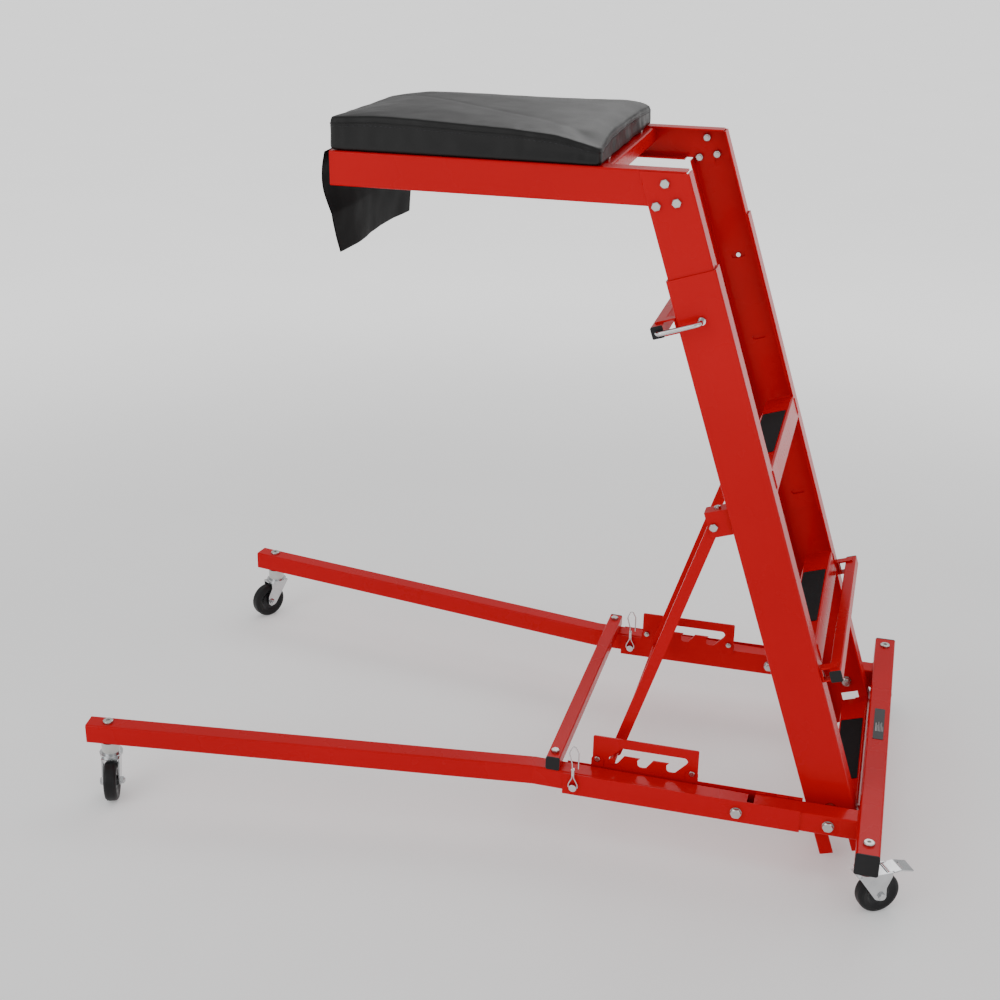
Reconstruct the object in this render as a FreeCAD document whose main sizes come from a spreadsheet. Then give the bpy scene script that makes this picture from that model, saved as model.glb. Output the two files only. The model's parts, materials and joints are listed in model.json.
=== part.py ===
import FreeCAD, Part
import math
import os
from FreeCAD import Vector, Rotation, Placement

# Topside mechanics creeper: a castered base with two folding front legs, a leaning
# ladder of nested C-rails, a pair of struts that rest in notched plates, and a
# padded deck on the upper rails. Millimetres, +Z up, floor at Z = 0.
# +X points to the rear (ladder foot), -X to the front (front casters, deck overhang).

doc = FreeCAD.newDocument("TopsideCreeper")
sheet = doc.addObject("Spreadsheet::Sheet", "Sheet")

DIMS = [
    # overall datum: shifts the fitted layout so the box centre stands over the origin
    ("shift_x", 668.4235), ("shift_y", 17.6965),
    # rear crossbar
    ("bar_w", 40.0), ("bar_wall", 2.5), ("bar_round", 4.0), ("bar_len", 776.0), ("bar_x", 1.5),
    ("bar_z", 115.5), ("cap_len", 4.0),
    # side stubs and leg channels
    ("stub_w", 38.0), ("stub_wall", 2.5), ("stub_front", -196.0),
    ("chan_w", 42.5), ("chan_tall", 44.0), ("chan_wall", 2.0), ("chan_y", 268.25), ("chan_z", 89.3),
    ("chan_front", -533.0), ("chan_rear", -115.0),
    # front legs
    ("leg_w", 35.0), ("leg_y", 269.6), ("leg_tall", 38.0), ("leg_wall", 2.0), ("leg_tilt", 0.9), ("leg_splay", 8.38),
    ("leg_pivot_x", -224.0), ("pivot_z", 110.5), ("leg_bend", -366.0), ("leg_end", -1189.0), ("leg_rear", 16.0),
    ("brace_w", 25.0), ("brace_wall", 2.0), ("brace_len", 574.0), ("brace_x", -329.0),
    # notched plates
    ("plate_t", 3.0), ("plate_x0", -488.0), ("plate_x1", -299.0), ("plate_z0", 126.0), ("plate_z1", 193.0),
    ("notch_pitch", 52.0), ("notch_x", -452.0), ("notch_z", 147.0), ("rod_d", 12.0),
    # ladder
    ("ladder_x", -67.5), ("ladder_z", 111.6), ("lean", 18.1),
    ("rail_w", 81.0), ("rail_f", 40.0), ("rail_wall", 2.5), ("rail_y", 230.5), ("rail_top", 969.0), ("rail_foot", -92.0),
    ("inner_w", 74.4), ("inner_f", 35.5), ("inner_y", 227.7), ("inner_foot", 385.0),
    ("slot_pitch", 158.5), ("slot_s", 896.0), ("slot_long", 25.0), ("slot_tall", 10.0),
    ("step_depth", 52.0), ("step_len", 381.0), ("step_t", 2.5), ("step_drop", 42.0), ("step_front", 18.0),
    ("small_bar", 20.0), ("small_wall", 2.0), ("handle_s", 253.0), ("handle_n", 67.0), ("handle_len", 474.0),
    ("lock_s", 896.0), ("lock_n", -71.0), ("lock_len", 486.0), ("lock_rod", 8.0),
    ("clevis_s", 547.7), ("clevis_n", -71.5), ("strut_y", 205.0), ("strut_w", 20.0), ("strut_wall", 2.0),
    # deck
    ("deck_top", 1190.5), ("deck_tall", 56.0), ("deck_f", 32.0), ("deck_wall", 2.5), ("deck_front", -963.0),
    ("deck_y", 225.2), ("tongue_z", 1124.0), ("board_t", 9.0), ("pad_t", 38.0), ("pad_x0", -962.0), ("pad_x1", -525.0), ("pad_half", 221.0),
    ("flap_t", 10.0), ("flap_tall", 168.0), ("flap_half", 222.0),
    # casters
    ("wheel_d", 75.0), ("wheel_w", 24.0), ("trail", 26.0), ("fork_t", 2.5), ("fork_gap", 28.0), ("axle_d", 8.0),
    ("stem_d", 10.0), ("race_d", 43.0), ("crown_z", 81.5), ("rear_cast_y", 354.0),
]
for i, (name, value) in enumerate(DIMS):
    sheet.set("A%d" % (i + 1), name)
    sheet.set("B%d" % (i + 1), str(value))
    sheet.setAlias("B%d" % (i + 1), name)
doc.recompute()


class Cells:
    def __getattr__(self, name):
        return float(sheet.get(name))


C = Cells()
V = Vector
YAX = V(0, 1, 0)
BASE = Placement(V(C.shift_x, C.shift_y, 0), Rotation())
LADDER = BASE.multiply(Placement(V(C.ladder_x, 0, C.ladder_z), Rotation(YAX, -C.lean)))
LEG = BASE.multiply(Placement(V(C.leg_pivot_x, 0, C.pivot_z), Rotation(YAX, C.leg_tilt)))
nodes = {}


def at(x, y, z, axis=None, angle=0.0):
    return Placement(V(x, y, z), Rotation(axis or V(0, 0, 1), angle))


# ---- outline helpers -------------------------------------------------------
def outline(points, radius=0.0, radii=None):
    """Closed outline of straight edges with rounded corners, as sketch geometry."""
    n = len(points)
    pts = [V(p[0], p[1], 0) for p in points]
    starts, ends, arcs = [], [], []
    for i in range(n):
        p, a, b = pts[i], pts[i - 1], pts[(i + 1) % n]
        r = (radii or {}).get(i, radius)
        u, w = (a - p).normalize(), (b - p).normalize()
        half = math.acos(max(-1, min(1, u.dot(w)))) / 2
        if r <= 0 or abs(half - math.pi / 2) < 1e-6:
            starts.append(p), ends.append(p), arcs.append(None)
            continue
        d = r / math.tan(half)
        s, e = p + u * d, p + w * d
        mid_dir = (u + w).normalize()
        c = p + mid_dir * (r / math.sin(half))
        m = c - mid_dir * r
        starts.append(s), ends.append(e), arcs.append(Part.Arc(s, m, e))
    geo = []
    for i in range(n):
        if arcs[i] is not None:
            geo.append(arcs[i])
        j = (i + 1) % n
        if (starts[j] - ends[i]).Length > 1e-6:
            geo.append(Part.LineSegment(ends[i], starts[j]))
    return geo


def ring(x, y, d):
    return [Part.Circle(V(x, y, 0), V(0, 0, 1), d / 2.0)]


def rect(w, h, r=0.0, cx=0.0, cy=0.0):
    return outline([(cx - w / 2, cy - h / 2), (cx + w / 2, cy - h / 2), (cx + w / 2, cy + h / 2), (cx - w / 2, cy + h / 2)], r)


def plane_of(body, role):
    return [f for f in body.Origin.OriginFeatures if f.Role == role][0]


def sketch(body, role, loops, name):
    sk = body.newObject("Sketcher::SketchObject", name)
    sk.AttachmentSupport = [(plane_of(body, role), "")]
    sk.MapMode = "FlatFace"
    for loop in loops:
        sk.addGeometry(loop, False)
    return sk


def extruded(label, loops, length_expr, placement, role="XY_Plane", midplane=False, cuts=()):
    """A body padded from a flat outline. cuts are (role, loops) pocketed through all."""
    body = doc.addObject("PartDesign::Body", label)
    body.Label = label
    sk = sketch(body, role, loops, label + "_outline")
    pad = body.newObject("PartDesign::Pad", label + "_pad")
    pad.Profile = sk
    pad.Midplane = midplane
    pad.setExpression("Length", length_expr)
    doc.recompute()
    for k, (crole, cloops) in enumerate(cuts):
        before = body.Shape.Volume
        cs = sketch(body, crole, cloops, "%s_cut%d" % (label, k))
        poc = body.newObject("PartDesign::Pocket", "%s_pocket%d" % (label, k))
        poc.Profile = cs
        poc.Type = 1
        poc.Midplane = True
        body.Tip = poc
        doc.recompute()
        if body.Shape.Volume > before - 1.0:
            raise RuntimeError("pocket %d of %s removed nothing" % (k, label))
    body.Placement = placement
    return body


def keep(label, obj):
    obj.Label = label
    nodes[label] = obj
    return obj


def minus(label, base, tools):
    """base with tools removed; every tool is a shape in the model frame."""
    tool = doc.addObject("Part::Feature", label + "_tools")
    tool.Shape = Part.makeCompound(list(tools))
    cut = doc.addObject("Part::Cut", label + "_cut")
    cut.Base = base
    cut.Tool = tool
    base.Label = label + "_blank"
    return keep(label, cut)


def solids(label, shapes):
    """Separate solids that share one node."""
    feat = doc.addObject("Part::Feature", label)
    flat = []
    for s in shapes:
        flat += s.Solids
    feat.Shape = flat[0] if len(flat) == 1 else Part.makeCompound(flat)
    return keep(label, feat)


def placed(shape, pl):
    s = shape.copy()
    s.Placement = pl.multiply(s.Placement)
    return s


def cyl(d, length, pos=(0, 0, 0), axis=(0, 0, 1)):
    return Part.makeCylinder(d / 2.0, length, V(*pos), V(*axis))


def face_of(geo):
    return Part.Face(Part.Wire(Part.__sortEdges__([g.toShape() for g in geo])))


def slab(geo, thick):
    return face_of(geo).extrude(V(0, 0, thick))


# ---- fasteners (axis +Z, bearing face of the head at Z = 0, head above) ----
def hex_head(af, tall, chamfer=True):
    r = af / math.sqrt(3)
    pts = [(r * math.cos(math.radians(60 * i)), r * math.sin(math.radians(60 * i))) for i in range(6)]
    h = slab(outline(pts), tall)
    if chamfer:
        prof = Part.makePolygon([V(0, 0, 0), V(r * 1.02, 0, 0), V(r * 1.02, 0, tall * 0.72), V(af * 0.45, 0, tall), V(0, 0, tall), V(0, 0, 0)])
        h = h.common(Part.Face(prof).revolve(V(0, 0, 0), V(0, 0, 1), 360))
    return h


def bolt(d, af, head, grip, nut, washer=0.0, tail=3.0):
    """Hex bolt with nut and washers round a stack of thickness grip below Z = 0."""
    s = placed(hex_head(af, head), at(0, 0, washer))
    if washer:
        s = s.fuse(cyl(af * 1.18, washer))
    s = s.fuse(cyl(d, grip + nut + washer + tail, (0, 0, -(grip + nut + washer + tail))))
    n = placed(hex_head(af, nut), Placement(V(0, 0, -grip - washer), Rotation(V(1, 0, 0), 180)))
    s = s.fuse(n)
    if washer:
        s = s.fuse(cyl(af * 1.18, washer, (0, 0, -grip - washer)))
    return s.removeSplitter()


def toward(pos, axis):
    """Placement whose +Z points along axis."""
    return Placement(V(*pos), Rotation(V(0, 0, 1), V(*axis)))


# =========================== rear crossbar =================================
w, t = C.bar_w, C.bar_wall
bar = extruded("rear_crossbar", [rect(w, w, C.bar_round), rect(w - 2 * t, w - 2 * t, C.bar_round - 2)], "Sheet.bar_len - 2 * Sheet.cap_len", BASE.multiply(at(C.bar_x, 0, C.bar_z)), role="XZ_Plane", midplane=True)
stem_holes = [placed(cyl(C.stem_d + 0.1, 60, (0, 0, -30)), BASE.multiply(at(C.bar_x, s * C.rear_cast_y, C.bar_z))) for s in (-1, 1)]
minus("rear_crossbar", bar, stem_holes)
caps = []
for s in (-1, 1):
    c = slab(rect(w, w, C.bar_round), C.cap_len).fuse(placed(slab(rect(w - 2 * t - 0.4, w - 2 * t - 0.4, C.bar_round - 2), 12.0), at(0, 0, C.cap_len)))
    c = c.makeFillet(1.2, [e for e in c.Edges if abs(e.BoundBox.ZMax) < 1e-6])
    caps.append(placed(c, BASE.multiply(toward((C.bar_x, s * C.bar_len / 2, C.bar_z), (0, -s, 0)))))
solids("rear_end_caps", caps)

# plain rating plate on the crossbar top, blank
plate = slab(rect(19.0, 112.0, 2.0), 0.8)
solids("rating_plate", [placed(plate, BASE.multiply(at(C.bar_x + 0.5, 36.0, C.bar_z + w / 2)))])

# =========================== side stubs ====================================
stub_z = C.chan_z + C.chan_wall + 0.2 + C.stub_w / 2
stub_len = (C.bar_x - w / 2) - C.stub_front
for s, side in ((-1, "near"), (1, "far")):
    sw = C.stub_w
    st = extruded("side_stub_" + side, [rect(sw, sw, 3.5), rect(sw - 2 * C.stub_wall, sw - 2 * C.stub_wall, 1.5)], "Sheet.bar_x - Sheet.bar_w / 2 - Sheet.stub_front", BASE.multiply(Placement(V(C.stub_front, s * C.chan_y, stub_z), Rotation(V(0, 0, 1), V(1, 0, 0)))))
    minus("side_stub_" + side, st, [placed(cyl(10.1, 60, (0, -30, 0), (0, 1, 0)), BASE.multiply(at(C.ladder_x, s * C.chan_y, C.ladder_z)))])

# =========================== leg channels ==================================
# open-topped U, with two raised ears on the inboard wall that carry the notched plate
cw, ct, th = C.chan_w, C.chan_tall, C.chan_wall
for s, side in ((-1, "near"), (1, "far")):
    prof = outline([(-cw / 2, ct), (-cw / 2, 0), (cw / 2, 0), (cw / 2, ct), (cw / 2 - th, ct), (cw / 2 - th, th), (-cw / 2 + th, th), (-cw / 2 + th, ct)], 0, {1: 3.0, 2: 3.0, 5: 1.0, 6: 1.0})
    ch = extruded("leg_channel_" + side, [prof], "Sheet.chan_rear - Sheet.chan_front", Placement())
    # profile X is across, profile Y is up, pad runs along +X of the model
    ch.Placement = BASE.multiply(Placement(V(C.chan_front, s * C.chan_y, C.chan_z), Rotation(V(0, 1, 0), V(0, 0, 1), V(1, 0, 0), "ZXY")))
    ear_obj = doc.addObject("Part::Feature", "leg_channel_ears_" + side)
    y_in = s * (C.chan_y - cw / 2)          # inboard face of the inboard wall
    fixed = []
    for ex in (C.plate_x0 + 9, C.plate_x1 - 10):
        e = Part.makeBox(22, th, 30, V(ex - 11, y_in - th if s < 0 else y_in, C.chan_z + ct - 12))
        e = e.makeFillet(6.0, [g for g in e.Edges if abs(g.BoundBox.ZMin - g.BoundBox.ZMax) < 1e-6 and g.BoundBox.ZMin > C.chan_z + ct + 10 and g.BoundBox.YLength > 1 and g.BoundBox.XLength < 1e-6])
        fixed.append(placed(e, BASE))
    ear_obj.Shape = Part.makeCompound(fixed)
    fu = doc.addObject("Part::MultiFuse", "leg_channel_fuse_" + side)
    fu.Shapes = [ch, ear_obj]
    ch.Label = "leg_channel_%s_profile" % side
    holes = [cyl(10.1, 70, (C.leg_pivot_x, s * C.chan_y - 35, C.pivot_z), (0, 1, 0)), cyl(8.1, 70, (-513, s * C.chan_y - 35, 108), (0, 1, 0))]
    for ex in (C.plate_x0 + 9, C.plate_x1 - 10):
        holes.append(cyl(6.1, 30, (ex, y_in - 15, 147.5), (0, 1, 0)))
    minus("leg_channel_" + side, fu, [placed(h, BASE) for h in holes])

# =========================== notched plates ================================
nx, nz, pz = C.notch_x, C.notch_z, C.notch_pitch
x0, x1, z0, z1 = C.plate_x0, C.plate_x1, C.plate_z0, C.plate_z1
lip, roof = nz + 12.0, nz + 28.0
r0 = C.rod_d / 2 + 0.4
slot = [(nx - r0, nz - r0 + 0.3), (nx + r0 + 1.5, nz - r0 + 0.3), (nx + 21, lip)]
corner = {0: r0 - 0.6, 1: 4.5}
for k in (1, 2):
    a = nx + k * pz
    slot += [(a - 3, lip), (a - r0 - 1.2, lip - 4.5), (a - r0, nz - r0 + 0.3), (a + r0 + 1.5, nz - r0 + 0.3)]
    corner[len(slot) - 2], corner[len(slot) - 1], corner[len(slot) - 3] = r0 - 0.8, 4.5, 2.0
    slot += [(a + 21, lip)] if k == 1 else [(a + 27, lip + 2.5), (a + 31, lip + 9), (a + 27, roof)]
corner[len(slot) - 1], corner[len(slot) - 2] = 6.0, 5.0
slot += [(nx + 17, roof), (nx - r0, nz + 6)]
corner[len(slot) - 1] = 2.0
for s, side in ((-1, "near"), (1, "far")):
    out = outline([(x0, z0), (x1, z0), (x1, z1), (x0, z1)], 2.5)
    holes = [ring(x0 + 9, 147.5, 6.1), ring(x1 - 10, 147.5, 6.1)]
    y_out = s * (C.chan_y - cw / 2)
    pl = extruded("notch_plate_" + side, [out, outline(slot, 0, corner)] + holes, "Sheet.plate_t", BASE.multiply(Placement(V(0, y_out + (C.plate_t if s < 0 else 0), 0), Rotation(V(1, 0, 0), 90))))
    keep("notch_plate_" + side, pl)
pb = []
for s in (-1, 1):
    for ex in (x0 + 9, x1 - 10):
        b = bolt(6.0, 10.0, 2.6, C.chan_wall + C.plate_t, 5.0)
        pb.append(placed(b, BASE.multiply(toward((ex, s * (C.chan_y - cw / 2 + C.chan_wall), 147.5), (0, s, 0)))))
solids("notch_plate_bolts", pb)

# =========================== pivot bolts ===================================
lp, gp = [], []
for s in (-1, 1):
    gap = (C.chan_y - C.stub_w / 2) - C.rail_y
    b = bolt(10.0, 17.0, 6.4, C.stub_w + gap + C.rail_wall, 8.0, washer=1.0)
    sp = cyl(20.0, gap - 0.3, (0, 0, -(C.stub_w + gap - 0.15))).cut(cyl(9.9, gap + 2, (0, 0, -(C.stub_w + gap + 1))))
    b = b.fuse(sp).removeSplitter()
    lp.append(placed(b, BASE.multiply(toward((C.ladder_x, s * (C.chan_y + C.stub_w / 2), C.ladder_z), (0, s, 0)))))
    b = bolt(10.0, 17.0, 6.4, cw, 8.0, washer=1.0)
    gp.append(placed(b, BASE.multiply(toward((C.leg_pivot_x, s * (C.chan_y + cw / 2), C.pivot_z), (0, s, 0)))))
solids("pivot_bolts", lp + gp)

# =========================== front legs ====================================
def leg_face(wd, tl, r):
    return outline([(-wd / 2, -tl / 2), (wd / 2, -tl / 2), (wd / 2, tl / 2), (-wd / 2, tl / 2)], r)


def swept(points, wd, tl, r):
    """Rectangular bar along a bent centre line, mitred at the bend."""
    spine = Part.makePolygon([V(*p) for p in points])
    d = (V(*points[1]) - V(*points[0])).normalize()
    f = Part.Wire(Part.__sortEdges__([g.toShape() for g in leg_face(wd, tl, r)]))
    f.Placement = Placement(V(*points[0]), Rotation(V(0, 0, 1).cross(d), V(0, 0, 1), d, "ZXY"))
    sh = spine.makePipeShell([f], True, False, 1)
    return sh if sh.ShapeType == "Solid" else Part.makeSolid(sh)


sp = math.tan(math.radians(C.leg_splay))
cast_x = -1375.0 - C.leg_pivot_x
for s, side in ((-1, "near"), (1, "far")):
    y0 = s * C.leg_y
    pts = [(C.leg_rear, y0, 0), (C.leg_bend, y0, 0), (C.leg_end, y0 + s * sp * (C.leg_bend - C.leg_end), 0)]
    outer = swept(pts, C.leg_w, C.leg_tall, 3.5)
    core = [(pts[0][0] + 20, y0, 0), pts[1], (C.leg_end + 3.0, y0 + s * sp * (C.leg_bend - C.leg_end - 3.0), 0)]
    inner = swept(core, C.leg_w - 2 * C.leg_wall, C.leg_tall - 2 * C.leg_wall, 1.5)
    leg = outer.cut(inner)
    # the closed front end is a welded plate, the rear end is open and its lower corner is cut back to swing
    quarter = Part.makeBox(40, 80, 40, V(0, y0 - 40, -40)).cut(cyl(2 * (C.leg_tall / 2 - 0.1), 90, (0, y0 - 45, 0), (0, 1, 0)))
    leg = leg.cut(quarter)
    hx = cyl(10.1, 80, (0, y0 - 40, 0), (0, 1, 0))
    dz = 108.0 - C.pivot_z
    pinx = placed(cyl(8.1, 80, (-513 - C.leg_pivot_x, s * C.chan_y - 40, dz), (0, 1, 0)), Placement(V(0, 0, 0), Rotation(YAX, -C.leg_tilt)))
    cy = y0 + s * sp * (C.leg_bend - cast_x)
    stem = cyl(C.stem_d + 0.1, 80, (cast_x, cy, -40))
    bz = cyl(8.1, 60, (C.brace_x, s * (C.brace_len / 2 - 21), -10))
    f = doc.addObject("Part::Feature", "front_leg_%s_tube" % side)
    f.Shape = placed(leg.removeSplitter(), LEG)
    minus("front_leg_" + side, f, [placed(h, LEG) for h in (hx, pinx, bz)] + [placed(cyl(C.stem_d + 0.1, 90, (-1375.0, cy, 90.0)), BASE)])

bw = C.brace_w
br = extruded("leg_brace", [rect(bw, bw, 3.0), rect(bw - 2 * C.brace_wall, bw - 2 * C.brace_wall, 1.2)], "Sheet.brace_len - 6", LEG.multiply(at(C.brace_x, 0, C.leg_tall / 2 + bw / 2)), role="XZ_Plane", midplane=True)
minus("leg_brace", br, [placed(cyl(8.1, 40, (C.brace_x, s * (C.brace_len / 2 - 21), C.leg_tall / 2 - 5)), LEG) for s in (-1, 1)])
caps, bb = [], []
for s in (-1, 1):
    c = slab(rect(bw, bw, 3.0), 3.0).fuse(placed(slab(rect(bw - 4.4, bw - 4.4, 1.2), 10.0), at(0, 0, 3.0)))
    caps.append(placed(c, LEG.multiply(toward((C.brace_x, s * C.brace_len / 2, C.leg_tall / 2 + bw / 2), (0, -s, 0)))))
    b = bolt(8.0, 13.0, 5.3, bw + C.leg_wall, 6.5)
    bb.append(placed(b, LEG.multiply(at(C.brace_x, s * (C.brace_len / 2 - 21), C.leg_tall / 2 + bw))))
solids("brace_end_caps", caps)
solids("brace_bolts", bb)

# =========================== hitch pins with wire bails ====================
def wire(points, d, r):
    """Round wire along straight runs joined by tangent arcs of radius r."""
    pts = [V(*p) for p in points]
    edges, last = [], pts[0]
    for i in range(1, len(pts) - 1):
        u, q = (pts[i - 1] - pts[i]).normalize(), (pts[i + 1] - pts[i]).normalize()
        half = math.acos(max(-1, min(1, u.dot(q)))) / 2
        k = min(r / math.tan(half), 0.45 * min((pts[i] - pts[i - 1]).Length, (pts[i + 1] - pts[i]).Length))
        rr = k * math.tan(half)
        a, b = pts[i] + u * k, pts[i] + q * k
        md = (u + q).normalize()
        m = pts[i] + md * (rr / math.sin(half) - rr)
        if (a - last).Length > 1e-6:
            edges.append(Part.LineSegment(last, a).toShape())
        edges.append(Part.Arc(a, m, b).toShape())
        last = b
    edges.append(Part.LineSegment(last, pts[-1]).toShape())
    path = Part.Wire(edges)
    d0 = (pts[1] - pts[0]).normalize()
    circ = Part.Wire(Part.makeCircle(d / 2.0, pts[0], d0))
    sh = path.makePipeShell([circ], True, True)
    return sh if sh.ShapeType == "Solid" else Part.makeSolid(sh)


for s, side in ((-1, "near"), (1, "far")):
    # both pins go in from the -Y side; local origin on the pin axis at the outer wall face
    yf = s * C.chan_y - cw / 2
    pin = cyl(8.0, cw + 11, (0, -1, 0), (0, 1, 0)).fuse(cyl(14.0, 5.5, (0, -6.5, 0), (0, 1, 0)))
    pin = pin.makeFillet(0.9, [e for e in pin.Edges if abs(e.BoundBox.YMin + 6.5) < 1e-6 and e.BoundBox.YLength < 1e-6])
    pin = pin.cut(cyl(3.0, 20, (-10, -3.8, 0), (1, 0, 0)))
    bail = wire([(-8.0, -3.8, 1.5), (-8.0, -4.6, 8.0), (-1.4, -5.6, 22.0), (-1.4, -5.6, 50.0), (-7.5, -5.2, 72.0), (0.5, -4.6, 91.0), (9.5, -4.6, 74.0), (9.5, -4.8, 42.0)], 2.2, 12.0)
    leg2 = wire([(8.0, -3.8, 1.5), (8.0, -4.6, 8.0), (1.4, -5.6, 22.0), (1.4, -5.6, 42.0)], 2.2, 8.0)
    cross = cyl(2.2, 17.0, (-8.5, -3.8, 1.4), (1, 0, 0))
    crimp = cyl(6.2, 12.0, (0, -5.6, 27.0))
    grip = bail.fuse([leg2, cross, crimp])
    pin = pin.cut(cyl(2.3, 40, (-20, -3.8, 1.4), (1, 0, 0)))
    pl = BASE.multiply(at(-513, yf, 108))
    solids("hitch_pin_" + side, [placed(pin, pl), placed(grip, pl)])

# =========================== ladder rails ==================================
def c_outline(wd, fl, tk, s, r_out=4.0, r_in=1.8):
    """C section: web outboard at 0, flanges running inboard; s is the side."""
    p = [(-wd / 2, 0), (wd / 2, 0), (wd / 2, fl), (wd / 2 - tk, fl), (wd / 2 - tk, tk), (-wd / 2 + tk, tk), (-wd / 2 + tk, fl), (-wd / 2, fl)]
    g = {0: r_out, 1: r_out, 4: r_in, 5: r_in}
    return outline([(x, -s * y) for x, y in p], 0, g)


rw = C.rail_w
pinhole = C.lock_rod + 0.12
for s, side in ((-1, "near"), (1, "far")):
    r = extruded("lower_rail_" + side, [c_outline(rw, C.rail_f, C.rail_wall, s)], "Sheet.rail_top - Sheet.rail_foot", LADDER.multiply(at(0, s * C.rail_y, C.rail_foot)))
    ya = s * C.rail_y
    tools = [cyl(10.1, 30, (0, ya - 15, 0), (0, 1, 0)), cyl(pinhole, 30, (0, ya - 15, C.slot_s), (0, 1, 0))]
    arch = Part.makeBox(33, 12, 67, V(-16, ya - 6, C.rail_foot - 1))
    tools += [arch]
    minus("lower_rail_" + side, r, [placed(h, LADDER) for h in tools])

# steps: channel-bent treads that butt against the flange tips
half = rw / 2
sd, tk = C.step_depth, C.step_t
tapes = []
for label, s0 in (("step_bottom", -22.0), ("step_middle", 300.0), ("step_top", 621.0)):
    pr = [(half - sd, 0), (half, 0), (half, -C.step_drop), (half - tk, -C.step_drop), (half - tk, -tk), (half - sd + tk, -tk), (half - sd + tk, -C.step_front), (half - sd, -C.step_front)]
    o = outline(pr, 0, {0: 4.0, 1: 4.0, 4: 1.5, 5: 1.5})
    st = extruded(label, [o], "Sheet.step_len", LADDER.multiply(Placement(V(0, 0, s0), Rotation(V(1, 0, 0), 90))), midplane=True)
    keep(label, st)
    tapes.append(placed(slab(rect(sd - 10, 216.0, 3.0, half - sd / 2 - 0.5, 0), 0.9), LADDER.multiply(at(0, 0, s0))))
solids("grip_tapes", tapes)

# handle bar behind the ladder and lock bar in front of it, both square tube
sb = C.small_bar
for label, s0, n0, ln in (("rear_bar", C.handle_s, C.handle_n, "Sheet.handle_len"), ("lock_bar", C.lock_s, C.lock_n, "Sheet.lock_len")):
    b = extruded(label, [rect(sb, sb, 2.2), rect(sb - 2 * C.small_wall, sb - 2 * C.small_wall, 0.8)], ln + " - 6", LADDER.multiply(at(n0, 0, s0)), role="XZ_Plane", midplane=True)
    keep(label, b)
caps = []
for s in (-1, 1):
    for n0, s0, ln, hole in ((C.handle_n, C.handle_s, C.handle_len, 0), (C.lock_n, C.lock_s, C.lock_len, 1)):
        c = slab(rect(sb, sb, 2.2), 3.0).fuse(placed(slab(rect(sb - 4.4, sb - 4.4, 0.8), 12.0), at(0, 0, 3.0)))
        if hole:
            c = c.cut(cyl(pinhole, 30, (0, 0, -1)))
        caps.append(placed(c, LADDER.multiply(toward((n0, s * ln / 2, s0), (0, -s, 0)))))
solids("bar_end_caps", caps)
br = []
for s in (-1, 1):
    ym = s * (C.rail_y - 13)
    # handle brackets: a U of two straps above and below the bar, its web on the rear flange
    u = Part.makeBox(C.handle_n + 4 - half, 16, sb + 6, V(half, ym - 8, C.handle_s - sb / 2 - 3)).cut(Part.makeBox(80, 20, sb, V(half + 3, ym - 10, C.handle_s - sb / 2)))
    br.append(placed(u, LADDER))
    u = Part.makeBox(-(C.lock_n - 4) - half, 16, sb + 6, V(C.lock_n - 4, ym - 8, C.lock_s - sb / 2 - 3)).cut(Part.makeBox(80, 20, sb, V(-half - 3 - 80, ym - 10, C.lock_s - sb / 2)))
    br.append(placed(u, LADDER))
solids("bar_brackets", br)

# strut clevises on the front flanges
cl, cb, tb = [], [], []
for s in (-1, 1):
    ym = s * C.strut_y
    n1 = C.clevis_n - 10
    body = Part.makeBox(-n1 - half, 27, 46, V(n1, ym - 13.5, 529)).cut(Part.makeBox(200, 21, 43, V(n1 - 100 + 0, ym - 10.5, 529)).common(Part.makeBox(-n1 - half - 3, 21, 43, V(n1, ym - 10.5, 529))))
    body = body.makeFillet(6.0, [e for e in body.Edges if e.BoundBox.YLength > 2 and e.BoundBox.XLength < 1e-6 and e.BoundBox.ZLength < 1e-6 and abs(e.BoundBox.XMin - n1) < 1e-6 and abs(e.BoundBox.ZMin - 529) < 1e-6])
    body = body.cut(cyl(8.1, 60, (C.clevis_n, ym - 30, C.clevis_s), (0, 1, 0))).cut(cyl(6.1, 20, (-60, ym, 565)))
    cl.append(placed(body, LADDER))
    b = bolt(8.0, 13.0, 5.3, 27.0, 6.5, washer=0.0)
    cb.append(placed(b, LADDER.multiply(toward((C.clevis_n, ym + s * 13.5, C.clevis_s), (0, s, 0)))))
    tb.append(placed(hex_head(10.0, 4.0).fuse(cyl(6.0, 6.0, (0, 0, -6.0))), LADDER.multiply(at(-60, ym, 575))))
solids("strut_clevises", cl)
solids("strut_pivot_bolts", cb)
solids("clevis_top_bolts", tb)

# =========================== struts ========================================
top = LADDER.multVec(V(C.clevis_n, 0, C.clevis_s))
foot = BASE.multVec(V(C.notch_x, 0, C.notch_z))
span = (foot - top).Length
ang = math.degrees(math.atan2(top.x - foot.x, top.z - foot.z))
STRUT = Placement(top, Rotation(YAX, ang))        # local -Z runs down the strut
sw = C.strut_w
ss = []
for s in (-1, 1):
    ym = s * C.strut_y
    g = outline([(-sw / 2, 10), (-sw / 2, -span - 10), (sw / 2, -span - 10), (sw / 2, 10)], 0, {0: 9.8, 1: 9.8, 2: 9.8, 3: 9.8})
    o = placed(slab(g, 18.0), Placement(V(0, ym + 9, 0), Rotation(V(1, 0, 0), 90)))
    i = Part.makeBox(sw - 4, 14, span - 30, V(-sw / 2 + 2, ym - 7, -span + 15))
    o = o.cut(i).cut(cyl(8.1, 60, (0, ym - 30, 0), (0, 1, 0))).cut(cyl(C.rod_d + 0.1, 60, (0, ym - 30, -span), (0, 1, 0)))
    ss.append(placed(o, STRUT))
for o, side in zip(ss, ("near", "far")):
    solids("strut_" + side, [o])
rod_half = 249.6
rod = cyl(C.rod_d, 2 * rod_half, (0, -rod_half, -span), (0, 1, 0))
rod = rod.makeFillet(1.2, [e for e in rod.Edges if e.BoundBox.YLength < 1e-6])
solids("strut_foot_bar", [placed(rod, STRUT)])

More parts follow.
